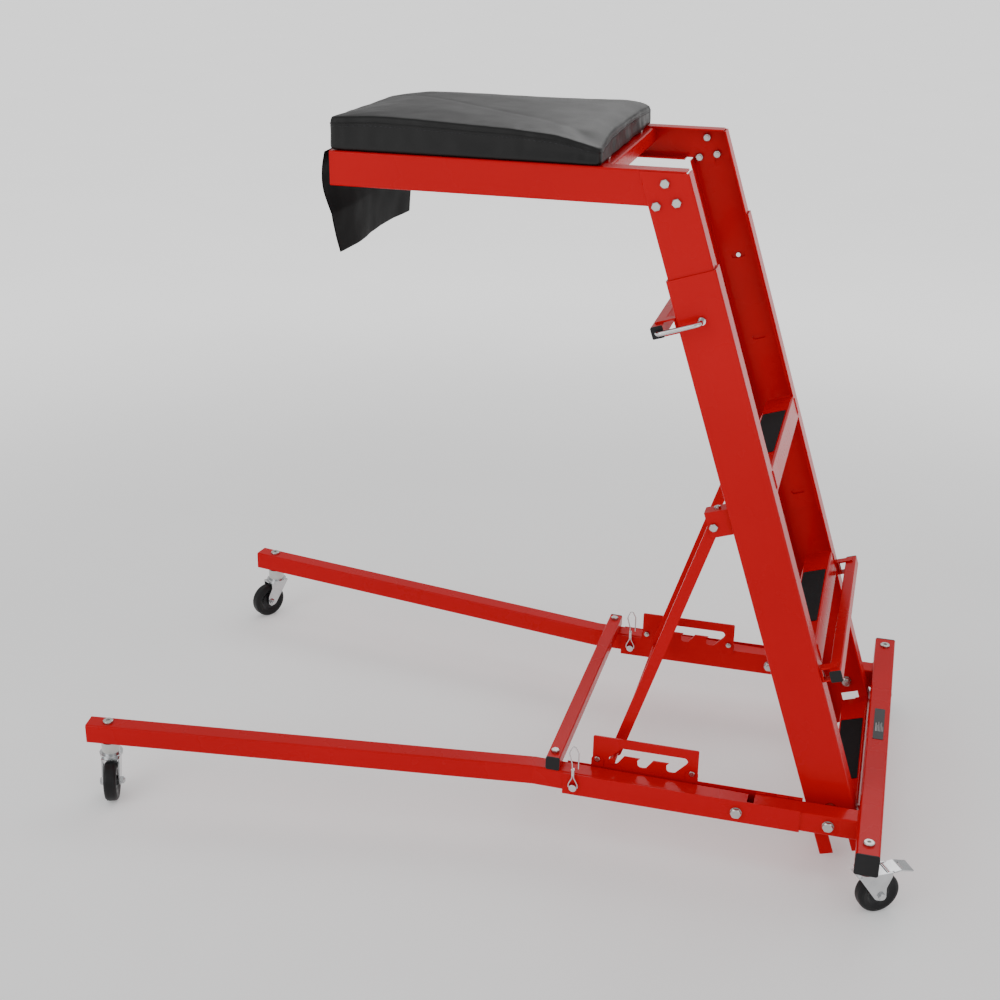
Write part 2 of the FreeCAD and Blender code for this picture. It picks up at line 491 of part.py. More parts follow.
# =========================== lock pins =====================================
for s, side in ((-1, "near"), (1, "far")):
    yo = s * (C.lock_len / 2 + 11.0)
    yi = s * (C.rail_y - 7.3)
    p = wire([(C.lock_n, s * (C.lock_len / 2 - 13.0), C.lock_s), (C.lock_n, yo, C.lock_s), (0.0, yo, C.lock_s), (0.0, yi, C.lock_s)], C.lock_rod, 9.0)
    collar = cyl(13.0, 5.0, (0, s * C.rail_y + (0.2 if s > 0 else -5.2), C.lock_s), (0, 1, 0))
    solids("lock_pin_" + side, [placed(p.fuse(collar), LADDER)])

# =========================== upper rails ===================================
zt, zb = C.deck_top, C.deck_top - C.deck_tall
for s, side in ((-1, "near"), (1, "far")):
    r = extruded("upper_rail_" + side, [c_outline(C.inner_w, C.inner_f, C.rail_wall, s, 3.5, 1.5)], "1180 - Sheet.inner_foot", LADDER.multiply(at(0, s * C.inner_y, C.inner_foot)))
    ya = s * C.inner_y
    tools = []
    for k in range(4):
        ks, hw = C.slot_s - k * C.slot_pitch, (C.slot_long - C.slot_tall) / 2
        tools.append(placed(cyl(C.slot_tall, 20, (-hw, ya - 10, ks), (0, 1, 0)).fuse([cyl(C.slot_tall, 20, (hw, ya - 10, ks), (0, 1, 0)), Part.makeBox(2 * hw, 20, C.slot_tall, V(-hw, ya - 10, ks - C.slot_tall / 2))]), LADDER))
    # square top, level with the underside of the deck rail's top flange
    tools.append(placed(Part.makeBox(400, 100, 120, V(-700, s * 215 - 50, zt - C.deck_wall)), BASE))
    # front flange cut away where the deck rail passes
    yin = s * (C.inner_y - C.rail_wall)
    tools.append(placed(Part.makeBox(-14 + 60, 60, 130, V(-60, yin - 60 if s > 0 else yin, 1040)), LADDER).common(placed(Part.makeBox(300, 200, 100, V(-600, s * 200 - 100, zb - 1.0)), BASE)))
    for (ks, kn) in ((1116.0, -2.0), (1086.0, -24.0), (1083.0, 8.0)):
        tools.append(placed(cyl(8.1, 30, (kn, ya - 15, ks), (0, 1, 0)), LADDER))
    minus("upper_rail_" + side, r, tools)

# =========================== deck frame ====================================
# side rails: C sections whose rear ends are cut on the slope of the ladder
end_n = C.inner_w / 2 - C.rail_wall - 1.8
for s, side in ((-1, "near"), (1, "far")):
    # profile: X runs inboard from the web, Y runs up
    p = [(0, 0), (C.deck_f, 0), (C.deck_f, C.deck_wall), (C.deck_wall, C.deck_wall), (C.deck_wall, C.deck_tall - C.deck_wall), (C.deck_f, C.deck_tall - C.deck_wall), (C.deck_f, C.deck_tall), (0, C.deck_tall)]
    g = outline([(-s * x, y) for x, y in p], 0, {0: 3.5, 7: 3.5, 3: 1.2, 4: 1.2})
    r = extruded("deck_rail_" + side, [g], "-Sheet.deck_front - 300", BASE.multiply(Placement(V(C.deck_front, s * C.deck_y, zb), Rotation(V(0, 1, 0), V(0, 0, 1), V(1, 0, 0), "ZXY"))))
    # behind the ladder the lower flange stops and the web reaches down as a bolting tongue
    web_y = s * (C.deck_y - C.deck_wall) if s > 0 else -C.deck_y
    low = Part.makeBox(200, 100, 90, V(-600, s * C.deck_y - 50, C.tongue_z)).common(Part.makeBox(400, 100, zb + 3 - C.tongue_z, V(-700, s * C.deck_y - 50, C.tongue_z)))
    slope = placed(Part.makeBox(end_n + 32.8, C.deck_wall, 300, V(-32.8, web_y, 950)), Placement(V(C.ladder_x, 0, C.ladder_z), Rotation(YAX, -C.lean)))
    tongue = doc.addObject("Part::Feature", "deck_tongue_" + side)
    tongue.Shape = placed(slope.common(low), BASE)
    web = doc.addObject("Part::MultiFuse", "deck_rail_fuse_" + side)
    web.Shapes = [r, tongue]
    r.Label = "deck_rail_%s_profile" % side
    r = web
    y_in = -C.deck_y + C.deck_wall if s < 0 else C.deck_y - C.deck_wall - 40
    tools = [placed(Part.makeBox(300, 200, 400, V(end_n, s * 200 - 100, 980)), LADDER)]
    tools.append(placed(Part.makeBox(200, 40, C.deck_wall + 3, V(-450, y_in, zb - 1)), BASE))
    for (ks, kn) in ((1116.0, -2.0), (1086.0, -24.0), (1083.0, 8.0)):
        tools.append(placed(cyl(8.1, 30, (kn, s * C.deck_y - 15, ks), (0, 1, 0)), LADDER))
    minus("deck_rail_" + side, r, tools)
jb = []
for s in (-1, 1):
    for (ks, kn) in ((1116.0, -2.0), (1086.0, -24.0), (1083.0, 8.0)):
        b = bolt(8.0, 13.0, 5.3, C.rail_wall + C.deck_wall, 6.5)
        jb.append(placed(b, LADDER.multiply(toward((kn, s * C.inner_y, ks), (0, s, 0)))))
solids("deck_joint_bolts", jb)

inner = C.deck_y - C.deck_wall
# angle irons across the deck, front, middle and rear; upright leg and a top leg under the board
for label, xa, dirn in (("deck_front_bar", C.deck_front + 1.0, 1), ("deck_middle_bar", -745.0, 1), ("deck_rear_bar", -508.0, -1)):
    z_top = zt - C.deck_wall if label != "deck_rear_bar" else zt - C.deck_wall
    g = outline([(0, 0), (26 * dirn, 0), (26 * dirn, -3), (3 * dirn, -3), (3 * dirn, -26), (0, -26)], 0, {0: 3.0, 3: 1.2})
    b = extruded(label, [g], "2 * (Sheet.deck_y - Sheet.deck_wall) - 2.8", BASE.multiply(Placement(V(xa, 0, z_top - 0.1), Rotation(V(1, 0, 0), 90))), midplane=True)
    tools = [placed(cyl(5.1, 30, (xa + 14 * dirn, yy, z_top - 15)), BASE) for yy in (-140, 140)]
    minus(label, b, tools)

px0, px1, ph = C.pad_x0, C.pad_x1, C.pad_half
board = Part.makeBox(px1 - px0 - 12, 2 * ph - 12, C.board_t, V(px0 + 6, -ph + 6, zt + 0.1))
board = board.makeFillet(12.0, [e for e in board.Edges if e.BoundBox.ZLength > 1])
sc = []
for xa in (C.deck_front + 1.0 + 14, -745.0 + 14, -508.0 - 14):
    for yy in (-140, 140):
        board = board.cut(cyl(5.0, 6.5, (xa, yy, zt)))
        sc.append(placed(cyl(5.0, 14.0, (xa, yy, zt - C.deck_wall - 3.1 - 2.0)).fuse(placed(hex_head(9.0, 3.2), Placement(V(xa, yy, zt - C.deck_wall - 3.1), Rotation(V(1, 0, 0), 180)))), BASE))
# screws end inside the board
sc = [x.cut(placed(Part.makeBox(800, 800, 60, V(-1100, -400, zt + 6.0)), BASE)) for x in sc]
solids("pad_board", [placed(board, BASE)])
solids("board_screws", sc)
pad = Part.makeBox(px1 - px0, 2 * ph, C.pad_t, V(px0, -ph, zt + 0.2 + C.board_t))
pad = pad.makeFillet(14.0, [e for e in pad.Edges if e.BoundBox.ZLength > 1])
pad = pad.makeFillet(8.0, [e for e in pad.Edges if e.BoundBox.ZMin > zt + C.board_t + C.pad_t - 1])
solids("pad_cushion", [placed(pad, BASE)])
flap = Part.makeBox(C.flap_t, 2 * C.flap_half - 30, C.flap_tall, V(C.deck_front - 2.0 - C.flap_t, -C.flap_half, zt - 12.0 - C.flap_tall))
flap = flap.makeFillet(3.0, [e for e in flap.Edges if e.BoundBox.YLength > 50])
solids("front_flap", [placed(flap, BASE)])

# =========================== casters =======================================
def caster_shapes(neck, brake):
    """Fork, wheel, axle and pedal; local origin on the floor under the stem, trail along +X."""
    wz, wr = C.wheel_d / 2, C.wheel_d / 2
    tr, ft = C.trail, C.fork_t
    g2 = C.fork_gap / 2
    crown = C.crown_z
    # fork cheeks, tapering from the crown to the axle
    cheek = outline([(-20, crown), (tr - 7 - 4, wz - 6), (tr + 2, wz - 11), (tr + 9, wz - 3), (tr + 8, wz + 14), (43 if brake else 24, crown - (8 if brake else 12)), (43 if brake else 24, crown)], 0, {1: 6.0, 2: 6.0, 3: 5.0, 4: 4.0, 5: 3.0})
    one = slab(cheek, ft)
    a = placed(one, Placement(V(0, -g2, 0), Rotation(V(1, 0, 0), 90)))
    b = placed(one, Placement(V(0, g2 + ft, 0), Rotation(V(1, 0, 0), 90)))
    top_plate = slab(outline([(-20, -g2 - ft), (32 if brake else 24, -g2 - ft), (32 if brake else 24, g2 + ft), (-20, g2 + ft)], 2.0), ft)
    top_plate = placed(top_plate, at(0, 0, crown - ft)).fuse(cyl(C.race_d - 6, ft, (0, 0, crown - ft)))
    race = cyl(C.race_d, 4.0, (0, 0, crown)).fuse(cyl(C.race_d - 9, 3.0, (0, 0, crown + 4.0)))
    fork = a.fuse([b, top_plate, race])
    fork = fork.cut(cyl(C.stem_d + 0.1, 80, (0, 0, crown - 30))).cut(cyl(C.axle_d + 0.06, 80, (tr, -40, wz), (0, 1, 0)))
    fork = fork.removeSplitter()
    axle = placed(hex_head(12.0, 5.0).fuse(cyl(C.axle_d, 2 * g2 + 2 * ft + 8.0, (0, 0, -(2 * g2 + 2 * ft + 8.0)))).fuse(placed(hex_head(12.0, 6.0), Placement(V(0, 0, -(2 * g2 + 2 * ft)), Rotation(V(1, 0, 0), 180)))), toward((tr, -g2 - ft, wz), (0, -1, 0)))
    axle = axle.removeSplitter()
    # tyre and hub as turned profiles
    ww = C.wheel_w / 2
    tyre_p = [V(23.0, 0, -ww + 2), V(30.0, 0, -ww), V(34.0, 0, -ww + 0.8), V(wr - 0.9, 0, -ww + 3.4), V(wr, 0, -ww + 6.5), V(wr, 0, ww - 6.5), V(wr - 0.9, 0, ww - 3.4), V(34.0, 0, ww - 0.8), V(30.0, 0, ww), V(23.0, 0, ww - 2), V(23.0, 0, -ww + 2)]
    hub_p = [V(C.axle_d / 2 + 0.05, 0, -ww - 1), V(9.0, 0, -ww - 1), V(10.0, 0, -ww + 3), V(19.0, 0, -ww + 4), V(23.0, 0, -ww + 2), V(23.0, 0, ww - 2), V(19.0, 0, ww - 4), V(10.0, 0, ww - 3), V(9.0, 0, ww + 1), V(C.axle_d / 2 + 0.05, 0, ww + 1), V(C.axle_d / 2 + 0.05, 0, -ww - 1)]
    turn = lambda q: placed(Part.Face(Part.makePolygon(q)).revolve(V(0, 0, 0), V(0, 0, 1), 360), toward((tr, 0, wz), (0, 1, 0)))
    tyre, hub = turn(tyre_p), turn(hub_p)
    pedal = None
    if brake:
        pg = outline([(35.0, 77.6), (41.0, 77.6), (58.0, 80.0), (82.0, 74.5), (83.0, 76.5), (58.5, 82.8), (41.0, 80.6), (35.0, 80.6)], 0, {2: 8.0, 5: 8.0})
        wide = Part.makeBox(60, 30, 40, V(46, -15, 60)).fuse(Part.makeBox(60, 25, 40, V(20, -12.5, 60)))
        pedal = placed(slab(pg, 30.0), Placement(V(0, 15, 0), Rotation(V(1, 0, 0), 90))).common(wide)
        pedal = pedal.fuse(cyl(5.0, 2 * g2 - 0.6, (38.0, -g2 + 0.3, 79.0), (0, 1, 0))).removeSplitter()
        pedal = pedal.cut(Part.makeBox(3.0, 18.0, 30, V(62, -9, 65)))
    return fork, axle, tyre, hub, pedal


def stem(bottom, under, top_z):
    """Socket-head stem: flange under the tube, head on top; bottom end inside the fork crown."""
    head = cyl(19.0, 4.6, (0, 0, top_z))
    head = head.makeFillet(1.8, [e for e in head.Edges if abs(e.BoundBox.ZMin - top_z - 4.6) < 1e-6 and e.BoundBox.ZLength < 1e-6])
    hexs = slab(outline([(3.9 * math.cos(math.radians(60 * i)), 3.9 * math.sin(math.radians(60 * i))) for i in range(6)]), 4.0)
    head = head.cut(placed(hexs, at(0, 0, top_z + 1.4)))
    return head.fuse(cyl(C.stem_d, top_z - bottom, (0, 0, bottom))).fuse(cyl(C.race_d - 9, under - (C.crown_z + 7.3), (0, 0, C.crown_z + 7.3))).fuse(cyl(18.0, 4.5, (0, 0, bottom - 0.0))).removeSplitter()


cast_y = C.leg_y + sp * (C.leg_bend - cast_x)
leg_mid = LEG.multVec(V(cast_x, 0, 0)).z
casters = {
    "rear_near": (C.bar_x, -C.rear_cast_y, 32.0, True),
    "rear_far": (C.bar_x, C.rear_cast_y, -87.0, True),
    "front_near": (-1375.0, -cast_y, -67.5, False),
    "front_far": (-1375.0, cast_y, -122.5, False),
}
stems = {"rear": [], "front": []}
joints = {}
for name, (cx, cy, turn_deg, brake) in casters.items():
    pl = BASE.multiply(at(cx, cy, 0, V(0, 0, 1), turn_deg))
    fork, axle, tyre, hub, pedal = caster_shapes(0, brake)
    solids("caster_fork_" + name, [placed(fork, pl), placed(axle, pl)])
    solids("wheel_" + name, [placed(tyre, pl), placed(hub, pl)])
    if pedal is not None:
        solids("brake_pedal_" + name, [placed(pedal, pl)])
    if name.startswith("rear"):
        stems["rear"].append(placed(stem(C.crown_z - C.fork_t - 4.5, C.bar_z - w / 2, C.bar_z + w / 2), pl))
    else:
        hi = leg_mid + C.leg_tall / 2 / math.cos(math.radians(C.leg_tilt)) + 0.35
        lo = leg_mid - C.leg_tall / 2 / math.cos(math.radians(C.leg_tilt)) - 0.45
        stems["front"].append(placed(stem(C.crown_z - C.fork_t - 4.5, lo, hi), pl))
    ax = pl.Rotation.multVec(V(0, 1, 0))
    wc = pl.multVec(V(C.trail, 0, C.wheel_d / 2))
    pv = pl.multVec(V(38.0, 0, 79.0))
    joints[name] = (tuple(round(v, 4) for v in (pl.Base.x, pl.Base.y)), tuple(round(v, 4) for v in wc), tuple(round(v, 6) for v in ax), tuple(round(v, 4) for v in pv))
solids("rear_caster_stems", stems["rear"])
solids("front_caster_stems", stems["front"])

# =========================== check and write ===============================
doc.recompute()
for obj in doc.Objects:
    if "Invalid" in obj.State or "Error" in obj.State:
        raise RuntimeError("%s is in state %s" % (obj.Label, obj.State))
for label, obj in nodes.items():
    if obj.Shape.isNull() or not obj.Shape.isValid() or not obj.Shape.Solids:
        raise RuntimeError("%s has no valid shape" % label)
if len(nodes) > 60 or any(len(k) > 59 for k in nodes):
    raise RuntimeError("too many nodes or too long a name")
os.makedirs("parts", exist_ok=True)
box = None
for label, obj in nodes.items():
    obj.Shape.exportStep("parts/%s.step" % label)
    b = obj.Shape.BoundBox
    box = b if box is None else box.united(b)
print("nodes", len(nodes))
print("box X %.3f %.3f Y %.3f %.3f Z %.3f %.3f" % (box.XMin, box.XMax, box.YMin, box.YMax, box.ZMin, box.ZMax))
print("strut span %.3f angle %.4f" % (span, ang))
print("leg pivot", BASE.multVec(V(C.leg_pivot_x, 0, C.pivot_z)), "ladder pivot", BASE.multVec(V(C.ladder_x, 0, C.ladder_z)), "clevis", top)
for k, v in joints.items():
    print("caster", k, v)
for label, obj in nodes.items():
    print("%-22s solids %d volume %.0f mm3" % (label, len(obj.Shape.Solids), obj.Shape.Volume))
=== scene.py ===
import bpy
import bmesh
import json
import math
import numpy as np
from mathutils import Vector, Matrix, noise
from mathutils.bvhtree import BVHTree


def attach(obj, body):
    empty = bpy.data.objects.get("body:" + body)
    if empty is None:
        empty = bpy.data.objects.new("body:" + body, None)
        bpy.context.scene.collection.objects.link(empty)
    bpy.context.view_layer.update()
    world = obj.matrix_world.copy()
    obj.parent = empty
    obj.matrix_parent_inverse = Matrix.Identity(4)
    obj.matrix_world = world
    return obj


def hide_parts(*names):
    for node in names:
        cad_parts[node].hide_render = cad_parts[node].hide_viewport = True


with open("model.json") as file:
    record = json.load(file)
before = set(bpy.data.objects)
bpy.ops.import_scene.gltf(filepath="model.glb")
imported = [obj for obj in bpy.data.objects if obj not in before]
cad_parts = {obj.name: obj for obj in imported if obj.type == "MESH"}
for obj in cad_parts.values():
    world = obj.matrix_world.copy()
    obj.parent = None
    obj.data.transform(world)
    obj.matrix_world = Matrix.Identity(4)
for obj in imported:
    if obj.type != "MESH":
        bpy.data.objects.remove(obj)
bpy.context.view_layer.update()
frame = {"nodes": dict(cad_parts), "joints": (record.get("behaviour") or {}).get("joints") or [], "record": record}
SX, SY = 0.6684235, 0.0176965          # layout datum to row frame


def P(x, y, z):
    """Layout millimetres to the row frame in metres."""
    return Vector((x / 1000 + SX, y / 1000 + SY, z / 1000))


# ------------------------------------------------------------------ camera
yaw, pitch, roll = math.radians(15.26), math.radians(23.01), math.radians(0.65)
fwd = Vector((-math.sin(yaw) * math.cos(pitch), math.cos(yaw) * math.cos(pitch), -math.sin(pitch)))
rt = Vector((math.cos(yaw), math.sin(yaw), 0))
up = rt.cross(fwd)
R = rt * math.cos(roll) + up * math.sin(roll)
U = up * math.cos(roll) - rt * math.sin(roll)
cd = bpy.data.cameras.new("photo_camera")
cam = bpy.data.objects.new("photo_camera", cd)
bpy.context.scene.collection.objects.link(cam)
cd.sensor_width = 36.0
cd.lens = 1484.13 / 1000 * 36.0
cd.clip_start, cd.clip_end = 0.05, 60
cam.matrix_world = Matrix.Translation(P(-56.53, -2478.49, 1608.5)) @ Matrix((R, U, -fwd)).transposed().to_4x4()
bpy.context.scene.camera = cam


# --------------------------------------------------------------- materials
def material(name):
    m = bpy.data.materials.new(name)
    m.use_nodes = True
    t = m.node_tree
    b = t.nodes["Principled BSDF"]
    tc = t.nodes.new("ShaderNodeTexCoord")
    return m, t, b, tc.outputs["Object"]


def noise_tex(t, coord, scale, detail=4.0, rough=0.5, stretch=None):
    n = t.nodes.new("ShaderNodeTexNoise")
    n.inputs["Scale"].default_value = scale
    n.inputs["Detail"].default_value = detail
    n.inputs["Roughness"].default_value = rough
    if stretch:
        mp = t.nodes.new("ShaderNodeMapping")
        mp.inputs["Scale"].default_value = stretch
        t.links.new(coord, mp.inputs["Vector"])
        coord = mp.outputs["Vector"]
    t.links.new(coord, n.inputs["Vector"])
    return n.outputs["Fac"]


def ramp(t, fac, stops):
    r = t.nodes.new("ShaderNodeValToRGB")
    e = r.color_ramp.elements
    while len(e) < len(stops):
        e.new(0.5)
    for el, (pos, col) in zip(e, stops):
        el.position = pos
        el.color = (*col, 1) if len(col) == 3 else col
    t.links.new(fac, r.inputs["Fac"])
    return r.outputs["Color"]


def span(t, fac, a, b):
    r = t.nodes.new("ShaderNodeMapRange")
    r.inputs["To Min"].default_value = a
    r.inputs["To Max"].default_value = b
    t.links.new(fac, r.inputs["Value"])
    return r.outputs["Result"]


def math_node(t, op, a, b=None):
    n = t.nodes.new("ShaderNodeMath")
    n.operation = op
    for i, v in enumerate((a, b)):
        if v is None:
            continue
        if isinstance(v, (int, float)):
            n.inputs[i].default_value = v
        else:
            t.links.new(v, n.inputs[i])
    return n.outputs[0]


def bump(t, bsdf, height, strength, distance, chain=None):
    n = t.nodes.new("ShaderNodeBump")
    n.inputs["Strength"].default_value = strength
    n.inputs["Distance"].default_value = distance
    t.links.new(height, n.inputs["Height"])
    if chain is not None:
        t.links.new(chain, n.inputs["Normal"])
    t.links.new(n.outputs["Normal"], bsdf.inputs["Normal"])
    return n.outputs["Normal"]


def red_paint():
    m, t, b, co = material("red_paint_detail")
    broad = noise_tex(t, co, 2.5, 3)
    t.links.new(ramp(t, broad, [(0.35, (0.490, 0.0, 0.0032)), (0.65, (0.535, 0.0, 0.0042))]), b.inputs["Base Color"])
    fine = noise_tex(t, co, 650, 2)
    t.links.new(span(t, noise_tex(t, co, 9, 5), 0.20, 0.34), b.inputs["Roughness"])
    bump(t, b, fine, 0.06, 0.0002)
    b.inputs["Coat Weight"].default_value = 0.08
    b.inputs["Coat Roughness"].default_value = 0.12
    b.inputs["Specular IOR Level"].default_value = 0.09
    return m


def plastic(name, col, r0, r1, grain=1200):
    m, t, b, co = material(name)
    t.links.new(ramp(t, noise_tex(t, co, 14, 4), [(0.3, [c * 0.75 for c in col]), (0.7, [c * 1.3 for c in col])]), b.inputs["Base Color"])
    t.links.new(span(t, noise_tex(t, co, 60, 4), r0, r1), b.inputs["Roughness"])
    bump(t, b, noise_tex(t, co, grain, 2), 0.25, 0.0002)
    b.inputs["Specular IOR Level"].default_value = 0.30
    return m


def metal(name, col, r0, r1, streak=(1, 1, 1), depth=0.12):
    m, t, b, co = material(name)
    b.inputs["Metallic"].default_value = 1.0
    t.links.new(ramp(t, noise_tex(t, co, 35, 5), [(0.3, [c * 0.86 for c in col]), (0.7, col)]), b.inputs["Base Color"])
    t.links.new(span(t, noise_tex(t, co, 120, 4, 0.6, streak), r0, r1), b.inputs["Roughness"])
    bump(t, b, noise_tex(t, co, 700, 3, 0.6, streak), depth, 0.0002)
    return m


def grip():
    m, t, b, co = material("grip_tape_detail")
    v = t.nodes.new("ShaderNodeTexVoronoi")
    v.inputs["Scale"].default_value = 900
    t.links.new(co, v.inputs["Vector"])
    g = noise_tex(t, co, 1400, 2)
    t.links.new(ramp(t, g, [(0.35, (0.004, 0.004, 0.0045)), (0.62, (0.013, 0.013, 0.014)), (0.75, (0.08, 0.08, 0.08))]), b.inputs["Base Color"])
    b.inputs["Roughness"].default_value = 0.85
    b.inputs["Specular IOR Level"].default_value = 0.15
    bump(t, b, v.outputs["Distance"], 0.9, 0.0008)
    return m


def vinyl(name="vinyl_detail", sheen=0.30, rough=(0.34, 0.50)):
    m, t, b, co = material(name)
    v = t.nodes.new("ShaderNodeTexVoronoi")
    v.feature = "DISTANCE_TO_EDGE"
    v.inputs["Scale"].default_value = 620
    v.inputs["Randomness"].default_value = 0.9
    t.links.new(co, v.inputs["Vector"])
    t.links.new(ramp(t, noise_tex(t, co, 9, 5), [(0.3, (0.0032, 0.0032, 0.0033)), (0.7, (0.0060, 0.0059, 0.0058))]), b.inputs["Base Color"])
    t.links.new(span(t, noise_tex(t, co, 22, 5), rough[0], rough[1]), b.inputs["Roughness"])
    grain = bump(t, b, v.outputs["Distance"], 0.35, 0.0004)
    bump(t, b, noise_tex(t, co, 45, 4), 0.12, 0.002, grain)
    b.inputs["Specular IOR Level"].default_value = sheen
    return m


def wood():
    m, t, b, co = material("plywood_detail")
    n = noise_tex(t, co, 30, 6, 0.6, (1, 14, 40))
    t.links.new(ramp(t, n, [(0.3, (0.28, 0.17, 0.08)), (0.7, (0.48, 0.32, 0.18))]), b.inputs["Base Color"])
    b.inputs["Roughness"].default_value = 0.7
    bump(t, b, n, 0.2, 0.0005)
    return m


def wheel(name, centre, axis):
    """Rubber tyre outside, moulded hub inside, told apart by distance from the axle."""
    m, t, b, co = material(name)
    sub = t.nodes.new("ShaderNodeVectorMath"); sub.operation = "SUBTRACT"
    t.links.new(co, sub.inputs[0]); sub.inputs[1].default_value = centre
    crs = t.nodes.new("ShaderNodeVectorMath"); crs.operation = "CROSS_PRODUCT"
    t.links.new(sub.outputs[0], crs.inputs[0]); crs.inputs[1].default_value = axis
    ln = t.nodes.new("ShaderNodeVectorMath"); ln.operation = "LENGTH"
    t.links.new(crs.outputs[0], ln.inputs[0])
    rad = ln.outputs["Value"]
    hub = math_node(t, "LESS_THAN", rad, 0.0229)
    mix = t.nodes.new("ShaderNodeMix"); mix.data_type = "RGBA"
    t.links.new(hub, mix.inputs["Factor"])
    rub = ramp(t, noise_tex(t, co, 60, 4), [(0.3, (0.0055, 0.0055, 0.006)), (0.7, (0.010, 0.010, 0.011))])
    hubc = ramp(t, noise_tex(t, co, 40, 3), [(0.3, (0.010, 0.010, 0.011)), (0.7, (0.017, 0.017, 0.019))])
    t.links.new(rub, mix.inputs[6]); t.links.new(hubc, mix.inputs[7])
    t.links.new(mix.outputs[2], b.inputs["Base Color"])
    t.links.new(span(t, hub, 0.42, 0.22), b.inputs["Roughness"])
    rings = math_node(t, "SINE", math_node(t, "MULTIPLY", rad, 3300.0))
    h = math_node(t, "ADD", math_node(t, "MULTIPLY", rings, 0.35), noise_tex(t, co, 500, 3))
    bump(t, b, h, 0.22, 0.0004)
    b.inputs["Specular IOR Level"].default_value = 0.25
    return m


MATS = {
    "red_paint": red_paint(),
    "black_plastic": plastic("black_plastic_detail", (0.0075, 0.0075, 0.0085), 0.42, 0.60),
    "label_black": plastic("label_detail", (0.020, 0.020, 0.022), 0.30, 0.42, 1800),
    "grip_tape": grip(),
    "zinc": metal("zinc_detail", (0.56, 0.56, 0.54), 0.16, 0.32),
    "chrome_pin": metal("chrome_detail", (0.70, 0.70, 0.71), 0.06, 0.16, (1, 1, 1), 0.05),
    "plywood": wood(),
    "vinyl": vinyl(),
    "caster_zinc": metal("caster_zinc_detail", (0.60, 0.61, 0.62), 0.14, 0.30, (1, 1, 3)),
    "brake_black": metal("pedal_zinc_detail", (0.80, 0.81, 0.82), 0.18, 0.34, (1, 1, 2)),
}
slot_of = {s["node"]: s["material_slot"] for s in frame["record"]["subparts"]}
spin = {j["child"]: j for j in frame["joints"] if j["name"].startswith("wheel_spin")}
for node, obj in frame["nodes"].items():
    key = slot_of[node]
    if key == "wheel_rubber":
        j = spin["wheel_body_" + node[len("wheel_"):]]
        mat = wheel("wheel_detail_" + node, tuple(j["pos_m"]), tuple(j["axis"]))
    else:
        mat = MATS[key]
    if obj.data.materials:
        for i in range(len(obj.data.materials)):
            obj.data.materials[i] = mat
    else:
        obj.data.materials.append(mat)


# ------------------------------------------------------------ mesh helpers
def mesh_object(name, verts, faces, mat, smooth=True):
    me = bpy.data.meshes.new(name)
    me.from_pydata([tuple(v) for v in verts], [], faces)
    me.validate()
    me.update()
    ob = bpy.data.objects.new(name, me)
    bpy.context.scene.collection.objects.link(ob)
    me.materials.append(mat)
    if smooth:
        me.polygons.foreach_set("use_smooth", [True] * len(me.polygons))
    return ob


def tube(points, radius, sides=8, closed=False):
    """Vertices and faces of a tube along points."""
    pts = [Vector(p) for p in points]
    n = len(pts)
    verts, faces = [], []
    ref = Vector((0, 0, 1))
    for i, p in enumerate(pts):
        a, b = pts[i - 1] if (i or closed) else pts[i], pts[(i + 1) % n] if (i < n - 1 or closed) else pts[i]
        d = (b - a).normalized()
        s = d.cross(ref)
        if s.length < 0.1:
            s = d.cross(Vector((1, 0, 0)))
        s.normalize()
        w = s.cross(d)
        r = radius(i / max(1, n - 1)) if callable(radius) else radius
        for k in range(sides):
            q = 2 * math.pi * k / sides
            verts.append(p + s * (r * math.cos(q)) + w * (r * math.sin(q)))
    last = n if closed else n - 1
    for i in range(last):
        j = (i + 1) % n
        for k in range(sides):
            m = (k + 1) % sides
            faces.append((i * sides + k, i * sides + m, j * sides + m, j * sides + k))
    if not closed:
        faces.append(tuple(range(sides))[::-1])
        faces.append(tuple((n - 1) * sides + k for k in range(sides)))
    return verts, faces


def bead(name, body, runs, radius=0.0022, pitch=0.0042):
    """Weld beads: overlapped ripples along straight runs, one object."""
    verts, faces = [], []
    for a, b in runs:
        a, b = Vector(a), Vector(b)
        length = (b - a).length
        n = max(6, int(length / 0.0009))
        pts = [a.lerp(b, i / n) for i in range(n + 1)]
        rip = lambda f: radius * (0.80 + 0.20 * abs(math.sin(math.pi * f * length / pitch))) * (1 if 0.012 < f < 0.988 else 0.7)
        v, f = tube(pts, rip, 8)
        base = len(verts)
        verts += v
        faces += [tuple(i + base for i in q) for q in f]
    ob = mesh_object(name, verts, faces, MATS["red_paint"])
    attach(ob, body)
    return ob


# ------------------------------------------------------------- weld beads
runs = []
for s in (-1, 1):
    yc = s * 268.25
    x = -18.5 - 0.3
    z0, z1 = 91.5, 129.5
    for dy in (-19, 19):
        runs.append((P(x, yc + dy, z0 + 3), P(x, yc + dy, z1 - 3)))
    for z in (z0, z1):
        runs.append((P(x, yc - 16, z), P(x, yc + 16, z)))
    # seams between the stub and the channel walls
    for dy in (-19.0, 19.0):
        for x0, x1 in ((-196, -178), (-160, -140), (-130, -116)):
            runs.append((P(x0, yc + dy, 130.2), P(x1, yc + dy, 130.2)))
bead("base_weld_beads", "base", runs, 0.0021)

lean = math.radians(18.1)


def L(n, y, s):
    """Ladder coordinates in millimetres to the row frame."""
    return P(-67.5 + n * math.cos(lean) - s * math.sin(lean), y, 111.6 + s * math.cos(lean) + n * math.sin(lean))


